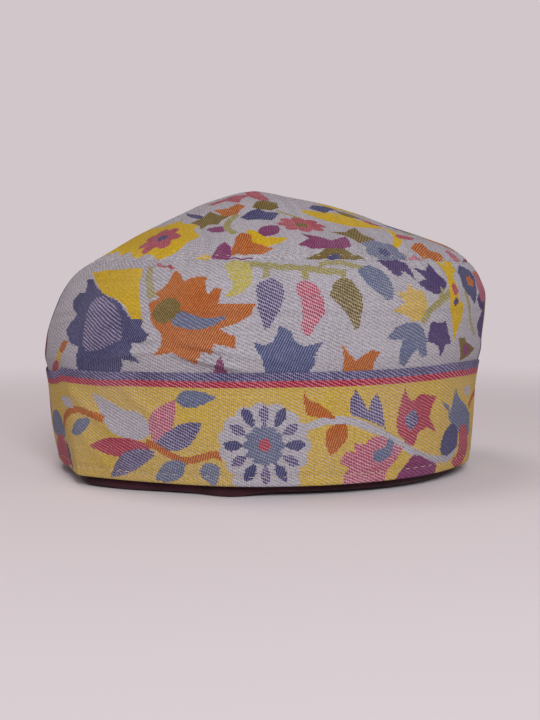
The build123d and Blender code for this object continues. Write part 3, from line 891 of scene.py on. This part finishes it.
def shawl_twill():
    """Tapestry twill whose yarns come from the mesh: lines, dots and steep lines where the yarn
    between shows, with painted glints of light.
    """
    material, net = new_material("shawl_twill")
    uv = net.nodes.new("ShaderNodeUVMap")
    uv.uv_map = "cloth"
    cloth = uv.outputs[0]
    wander = net.times_add(net.noise(cloth, 160.0), 1.5, -0.75)
    across, up, _ = net.parts(cloth)
    x = net.math("MULTIPLY", across, 1 / MM)
    y = net.times_add(up, 1 / MM, wander)
    column = net.math("DIVIDE", x, COLUMN)
    twill = net.math("DIVIDE", net.times_add(x, TWILL_SLOPE, y), TWILL_PITCH)
    steep = net.times_add(y, STEEP[0], net.math("MULTIPLY", column, STEEP[1]))
    line_wave, column_wave, steep_wave = (net.wave(phase) for phase in (twill, column, steep))
    # Where the yarn between shows: along the lines, round the dots, along the steep lines
    line = net.math("MULTIPLY", net.ramp(line_wave, 0.35, 0.85),
                    net.times_add(column_wave, 0.9, 0.3))
    dot = net.math("MULTIPLY", net.ramp(line_wave, -0.05, 0.42), net.ramp(column_wave, -0.10, 0.38))
    lattice = net.math("SUBTRACT", 1.0, dot)
    amounts = net.nodes.new("ShaderNodeSeparateColor")
    net.fill(amounts.inputs[0], net.stored("weave"))
    shown = net.math("MULTIPLY", line, amounts.outputs[0])
    shown = net.times_add(lattice, amounts.outputs[1], shown)
    shown = net.times_add(net.ramp(steep_wave, 0.30, 0.85), amounts.outputs[2], shown)
    uneven = net.times_add(net.noise(cloth, 420.0, 3.0), 0.9, -0.75)
    uneven = net.times_add(net.noise(cloth, 38.0), 1.6, uneven)
    uneven = net.times_add(net.noise(cloth, 950.0), 1.0, uneven)
    shown = net.math("MULTIPLY", shown, uneven)
    colour = net.mixed(net.ramp(shown, -0.1, 1.1), net.stored("yarn"), net.stored("under"))
    # Dusty patches and fibres, and painted glints: small bright flecks that lighten the colour as if
    # silk floats caught the light
    patch = net.ramp(net.noise(cloth, 34.0, 4.0), 0.25, 0.75)
    colour = net.mixed(net.math("MULTIPLY", patch, 0.12), colour, DUST)
    fibre = net.noise(cloth, 2600.0, 3.0)
    # Painted highlight: a mask of small bright flecks, standing in for light glinting on silk floats
    painted_glints = net.ramp(net.noise(cloth, 900.0, 1.0), 0.30, 0.70)
    # The fibre's tone and the painted glints together, which multiply the base colour below
    light = net.times_add(painted_glints, 0.30, net.times_add(fibre, 0.5, 0.62))
    tint = net.nodes.new("ShaderNodeCombineColor")
    for socket in tint.inputs:
        net.fill(socket, light)
    relief = net.times_add(fibre, 0.5, net.times_add(line_wave, -0.6, column_wave))
    net.surface(Base_Color=net.mixed(0.8, colour, tint.outputs[0], "MULTIPLY"),
                Normal=net.bump(relief, 0.8, 0.22 * MM), Specular_IOR_Level=0.12,
                Roughness=net.times_add(net.ramp(shown, -1.5, 2.0), 0.25, 0.62))
    return material


def plain_cloth(name, low, high, thread, bump_height, sheen, rough):
    """A plain weave or pile: colour varies between low and high, threads thread mm apart."""
    material, net = new_material(name)
    place = net.place()
    x, y, z = net.parts(place)
    across, up = (net.wave(net.math("MULTIPLY", along, 1 / (thread * MM)))
                  for along in (net.math("ADD", x, y), z))
    threads = net.math("MULTIPLY", across, up)
    fibre = net.noise(place, 3200.0, 3.0)
    tone = net.times_add(fibre, 0.6, net.times_add(threads, 0.35, net.noise(place, 90.0, 5.0)))
    net.surface(Base_Color=net.mixed(net.ramp(tone, 0.35, 1.35), (*low, 1.0), (*high, 1.0)),
                Normal=net.bump(net.math("ADD", threads, fibre), 0.6, bump_height * MM),
                Roughness=rough, Specular_IOR_Level=0.2, Sheen_Weight=sheen, Sheen_Roughness=0.35)
    return material


TWILL = shawl_twill()
VELVET_PILE, LINING_COTTON, BUCKRAM_WEAVE, SPUN_THREAD, NAVY_THREAD = (
    plain_cloth(*row) for row in (
        ("velvet_pile", shade(34, 16, 22), shade(68, 34, 43), 0.5, 0.25, 0.12, 0.9),
        ("lining_cotton", shade(70, 36, 46), shade(104, 62, 70), 0.45, 0.08, 0.1, 0.85),
        ("buckram_weave", shade(196, 186, 160), shade(232, 226, 208), 1.1, 0.2, 0.0, 0.8),
        ("spun_thread", shade(160, 142, 112), shade(196, 182, 160), 0.25, 0.05, 0.0, 0.7),
        ("navy_thread", shade(44, 36, 84), shade(84, 76, 124), 0.25, 0.05, 0.0, 0.7),
    ))


def dress(piece, material, slot, *nodes):
    """Gives a piece its material, hangs it from the root body and hides the frame's parts that it
    stands in for. The slot is not used.
    """
    piece.data.materials.clear()
    piece.data.materials.append(material)
    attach(piece, "root")
    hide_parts(*nodes)
    return piece


# ---------------------------------------------------------------- inner layers
RING_COLUMNS = 360


def ring_piece(name, runs, outs, lift=None, bulge=None):
    """A plain strip round the cap, on a coarser grid. One with a lift and a bulge is a closed
    section: its last row joins its first."""
    s = np.arange(RING_COLUMNS) / RING_COLUMNS * GIRTH_LENGTH - GIRTH_LENGTH / 2
    s_grid, v_grid = np.meshgrid(s, runs)
    out_grid = np.broadcast_to(np.reshape(outs, (-1, 1)), v_grid.shape)
    closed = lift is not None
    if closed:
        out_grid = out_grid + bulge(s_grid, v_grid)
        v_grid = v_grid + lift(s_grid, v_grid)
    faces = grid_faces(len(runs), RING_COLUMNS, True, closed)
    return make_mesh(name, wall_point(s_grid, v_grid, out_grid), faces.tolist())


VELVET_JOIN = -16.0  # where the sweatband's ends overlap, and hang a little lower


def velvet_lift(s, v):
    """The velvet's lower edge clears the floor a little, except where its ends overlap."""
    low = 0.9 - 0.85 * hump(wrapped(s - VELVET_JOIN), 0, 13) + 0.25 * np.sin(s / 17.0)
    for height, at, spread in ((0.55, 150, 30), (0.55, -190, 40), (0.6, -70, 32)):
        low = low - height * hump(wrapped(s - at), 0, spread)
    return np.maximum(low, 0.05) * np.clip((HEM_RUN + 6 - v) / 6, 0, 1)


def velvet_bulge(s, v):
    """The overlapped ends and the pushed corner stand forward below the hem."""
    forward = 3.4 * hump(wrapped(s - VELVET_JOIN), 0, 11) + 2.4 * hump(wrapped(s + 78), 0, 34)
    return forward * np.clip((HEM_RUN + 1 - v) / 5, 0, 1)


def sweatband():
    """A velvet strip with soft rounded edges, closed all round."""
    top = float(np.interp(SWEATBAND_TOP, LINE[:, 0], LINE_RUN))
    half = VELVET / 2
    middle = -VELVET_INSET - half
    bend = np.linspace(0, math.pi, 7)
    up = dense(half, top - half, 1.4)
    runs = np.concatenate([up, top - half + half * np.sin(bend),
                           up[::-1], half - half * np.sin(bend)])
    outs = np.concatenate([np.full(len(up), middle + half), middle + half * np.cos(bend),
                           np.full(len(up), middle - half), middle - half * np.cos(bend)])
    keep = np.concatenate([[True], np.hypot(np.diff(runs), np.diff(outs)) > 1e-6])
    return ring_piece("sweatband_velvet", runs[keep][:-1], outs[keep][:-1],
                      velvet_lift, velvet_bulge)


BUCKRAM_FOOT, BUCKRAM_TOP = 5.4, RIM_RUN - 4.5


def wall_buckram(name, start, end):
    """One half of the wall's stiffening: a closed strip that ends at both sides of the cap."""
    up = dense(BUCKRAM_FOOT, BUCKRAM_TOP, 3.0)
    outs = np.repeat([-BUCKRAM_INSET, -BUCKRAM_INSET - BUCKRAM], len(up))
    s_grid, v_grid = np.meshgrid(dense(start, end, 2.0), np.concatenate([up, up[::-1]]))
    rows, cols = s_grid.shape
    faces = grid_faces(rows, cols, False, True).tolist()
    for edge in (0, cols - 1):
        for i in range(rows // 2 - 1):
            ends = [row * cols + edge for row in (i, i + 1, rows - 2 - i, rows - 1 - i)]
            faces.append(ends if edge else ends[::-1])
    return make_mesh(name, wall_point(s_grid, v_grid, outs[:, None] + 0 * s_grid), faces)


def wall_lining():
    runs = dense(9.0, RIM_RUN, 2.2)
    return ring_piece("wall_lining_cloth", runs, np.full(len(runs), -LINING_INSET))


def crown_lining():
    _, _, p, q = crown_grid(CROWN_LINING_CELLS)
    faces = grid_faces(CROWN_LINING_CELLS + 1, CROWN_LINING_CELLS + 1, False)
    return make_mesh("crown_lining_cloth", crown_point(p, q, -LINING_INSET), faces.tolist())


# ---------------------------------------------------------------- thread
def stitches(name, places, length, thick, arch, where):
    """Stitches as bent threads: each rises out of the cloth, lies on it and dips back in."""
    rings, sides = 7, 6
    points, faces = [], []
    tube = grid_faces(rings, sides, True)
    first, last = np.arange(sides)[::-1], (rings - 1) * sides + np.arange(sides)
    for s0 in places:
        tilt = random.normal(0, 0.12)
        reach = length * (1 + random.normal(0, 0.06))
        faces += [(ring + len(points)).tolist() for ring in (*tube, first, last)]
        for t in np.linspace(-0.5, 0.5, rings):
            body = thick / 2 * math.sqrt(max(0.06, 1 - (2 * t) ** 4))
            rise = arch * (1 - (2 * t) ** 4) - 0.12
            for a in np.linspace(0, 2 * math.pi, sides + 1)[:-1]:
                points.append(where(s0 + t * reach, tilt * t * 2 + body * math.sin(a),
                                    rise + body * math.cos(a)))
    return make_mesh(name, points, faces)


def around_cap(pitch):
    """Even places round the cap, about a pitch apart."""
    count = round(GIRTH_LENGTH / pitch)
    return (np.arange(count) + 0.5) / count * GIRTH_LENGTH - GIRTH_LENGTH / 2


# Where a stitch's points go: s along its row, dv up from it, out above the cloth
def on_band(level):
    def where(s, dv, out):
        v = level + dv
        return wall_point(s, v + band_shift(s, v), BAND_OUT + band_relief(s, v) + out)
    return where


def on_crown(far):
    def where(s, dv, out):
        turn = np.interp(wrapped(s), TURN_RUN, TURN)
        share = far - dv / MEAN_HALF
        p, q = share * HALF_LENGTH * math.sin(turn), -share * HALF_WIDTH * math.cos(turn)
        return crown_point(p, q, crown_relief(p, q) + out)
    return where


def inside_velvet(level):
    def where(s, dv, out):
        return wall_point(s, level + dv, -VELVET_INSET - VELVET - out)
    return where


# ---------------------------------------------------------------- room
def camera():
    """Level with the wall, in front of the cap's broad side, tipped down a little."""
    data = bpy.data.cameras.new("camera")
    data.sensor_width = 36.0
    data.lens = 52.95
    data.clip_start, data.clip_end = 0.01, 50.0
    holder = bpy.data.objects.new("camera", data)
    holder.location = (0.0, -0.517, 0.0846)
    holder.rotation_euler = (math.radians(90 - 3.78), 0.0, math.radians(-0.3))
    bpy.context.scene.collection.objects.link(holder)
    bpy.context.scene.camera = holder


def area_light(name, place, target, size, power, tint=(1.0, 1.0, 1.0)):
    data = bpy.data.lights.new(name, "AREA")
    data.shape = "DISK"
    data.size = size
    data.energy = power
    data.color = tint
    holder = bpy.data.objects.new(name, data)
    holder.location = place
    aim = np.array(target) - np.array(place)
    pitch = math.atan2(math.hypot(aim[0], aim[1]), -aim[2])
    holder.rotation_euler = (pitch, 0.0, math.atan2(-aim[0], aim[1]))
    bpy.context.scene.collection.objects.link(holder)


BACKDROP = shade(209, 199, 202)


def floor():
    """A wide pale sheet that melts into the backdrop's colour well behind and around the cap."""
    rings, spokes = [0.15, 0.3, 0.5, 0.8, 1.3, 2.2, 4.0, 8.0, 16.0], 64
    around = 2 * math.pi * np.arange(spokes) / spokes
    flat = np.stack([np.cos(around), np.sin(around), 0 * around], -1)
    points = np.concatenate([[[0, 0, 0]]] + [r / MM * flat for r in rings])
    faces = [[0, 1 + k, 1 + (k + 1) % spokes] for k in range(spokes)]
    faces += (1 + grid_faces(len(rings), spokes, True)[:, ::-1]).tolist()
    piece = make_mesh("floor_sheet", points, faces)
    material, net = new_material("floor_paper")
    place = net.place()
    reach = net.nodes.new("ShaderNodeVectorMath")
    reach.operation = "LENGTH"
    net.fill(reach.inputs[0], place)
    tones = [(*shade(*tone), 1.0) for tone in ((218, 211, 215), (221, 214, 218))]
    net.surface(Base_Color=net.mixed(net.noise(place, 5.0, 1.0), *tones), Roughness=0.75,
                Specular_IOR_Level=0.2)
    glow = net.nodes.new("ShaderNodeEmission")
    net.fill(glow.inputs["Color"], (*BACKDROP, 1.0))
    blend = net.nodes.new("ShaderNodeMixShader")
    far = net.ramp(reach.outputs["Value"], 0.20, 0.75)
    paper = net.nodes["Principled BSDF"].outputs[0]
    for socket, value in zip(blend.inputs, (far, paper, glow.outputs[0])):
        net.fill(socket, value)
    net.fill(net.nodes["Material Output"].inputs["Surface"], blend.outputs[0])
    piece.data.materials.append(material)


def room():
    """Pale all round and dark overhead, with a soft key light behind the camera."""
    scene = bpy.context.scene
    scene.view_settings.view_transform = "Standard"
    scene.world = bpy.data.worlds.new("studio")
    scene.world.use_nodes = True
    net = Net(scene.world.node_tree)
    overhead = net.ramp(net.parts(net.place("Generated"))[2], 0.30, 0.75)
    sky = net.mixed(overhead, (*BACKDROP, 1.0), (0.16, 0.13, 0.12, 1.0))
    net.fill(net.nodes["Background"].inputs["Color"], sky)
    area_light("key", (0.2, -1.35, 0.85), (0.0, 0.0, 0.06), 0.7, 18.0, (0.97, 0.98, 1.0))
    area_light("top", (-0.4, 0.2, 1.5), (0.0, 0.0, 0.06), 0.7, 5.0, (1.0, 0.93, 0.88))


# ---------------------------------------------------------------- build
camera()
room()
floor()

band = dress(border_band(), TWILL, "band_cloth", "border_band")
wall = dress(upper_wall(), TWILL, "body_cloth", "upper_wall")
crown = dress(crown_cloth(), TWILL, "body_cloth", "crown_top")
velvet = dress(sweatband(), VELVET_PILE, "velvet", "sweatband")
side_lining = dress(wall_lining(), LINING_COTTON, "lining", "wall_lining")
top_lining = dress(crown_lining(), LINING_COTTON, "lining", "crown_lining")

quarter, gap = GIRTH_LENGTH / 4, 0.5
front_stiff = dress(wall_buckram("wall_buckram_front_cloth", -quarter + gap, quarter - gap),
                    BUCKRAM_WEAVE, "buckram", "wall_buckram_front")
back_stiff = dress(wall_buckram("wall_buckram_back_cloth", quarter + gap, 3 * quarter - gap),
                   BUCKRAM_WEAVE, "buckram", "wall_buckram_back")

for node in ("crown_buckram_front", "crown_buckram_back"):
    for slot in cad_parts[node].material_slots:
        slot.material = BUCKRAM_WEAVE

hem_thread = stitches("hem_thread", around_cap(4.9), 3.3, 0.30, 0.24,
                      on_band(HEM_RUN + HEM_STITCH_UP))
band_thread = stitches("band_thread", around_cap(6.1), 1.4, 0.24, 0.12, on_band(BAND_TOP_RUN - 1.2))
rim_thread = stitches("rim_thread", around_cap(5.6), 2.0, 0.24, 0.14, on_crown(RIM_GIRTH - 0.018))
inner_thread = stitches("sweatband_thread", around_cap(5.2), 3.6, 0.36, 0.25,
                        inside_velvet(SWEATBAND_TOP - 2.0))
for piece, node, yarn in ((hem_thread, "hem_topstitch", SPUN_THREAD),
                          (band_thread, "band_stitches", NAVY_THREAD),
                          (rim_thread, "rim_stitches", SPUN_THREAD),
                          (inner_thread, "sweatband_stitches", SPUN_THREAD)):
    dress(piece, yarn, "thread", node)
